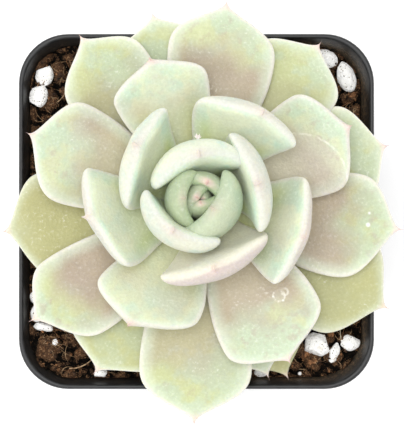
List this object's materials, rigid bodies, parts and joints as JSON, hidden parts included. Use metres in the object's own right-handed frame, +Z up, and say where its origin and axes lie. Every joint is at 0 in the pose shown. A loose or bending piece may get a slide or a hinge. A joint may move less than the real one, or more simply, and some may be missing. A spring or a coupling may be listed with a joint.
{
  "type": "potted lola echeveria",
  "caption": "Rosette succulent with thick pointed pale leaves in a square black plastic nursery pot with soil and perlite.",
  "frame": {"origin": "middle of the flat underside of the pot, on the surface that the pot stands on", "axes": "+Z up; +X and +Y along the sides of the square pot, to the picture's right and to its top edge"},
  "size_m": [0.1003, 0.1058, 0.113],
  "materials": {
    "pot": "satin",
    "soil": "matte",
    "stem": "matte",
    "perlite": "matte",
    "outer_leaf": "matte",
    "inner_leaf": "matte"
  },
  "bodies": {
    "root": {"pot": "pot", "soil": "soil", "stem": "stem", "perlite_01": "perlite", "perlite_02": "perlite", "perlite_03": "perlite", "perlite_04": "perlite", "perlite_05": "perlite", "perlite_06": "perlite", "perlite_07": "perlite", "perlite_08": "perlite", "perlite_09": "perlite", "perlite_10": "perlite", "perlite_11": "perlite", "perlite_12": "perlite", "perlite_13": "perlite", "leaf_01": "outer_leaf", "leaf_02": "outer_leaf", "leaf_03": "outer_leaf", "leaf_04": "outer_leaf", "leaf_05": "outer_leaf", "leaf_06": "outer_leaf", "leaf_07": "outer_leaf", "leaf_08": "outer_leaf", "leaf_09": "outer_leaf", "leaf_10": "outer_leaf", "leaf_11": "outer_leaf", "leaf_12": "outer_leaf", "leaf_13": "outer_leaf", "leaf_14": "outer_leaf", "leaf_15": "outer_leaf", "leaf_16": "outer_leaf", "leaf_17": "outer_leaf", "leaf_18": "outer_leaf", "leaf_19": "inner_leaf", "leaf_20": "inner_leaf", "leaf_21": "inner_leaf", "leaf_22": "inner_leaf", "leaf_23": "inner_leaf", "leaf_24": "inner_leaf", "leaf_25": "inner_leaf", "leaf_26": "inner_leaf", "leaf_27": "inner_leaf", "leaf_28": "inner_leaf", "leaf_29": "inner_leaf", "leaf_30": "inner_leaf", "leaf_31": "inner_leaf", "leaf_32": "inner_leaf"}
  },
  "joints": []
}
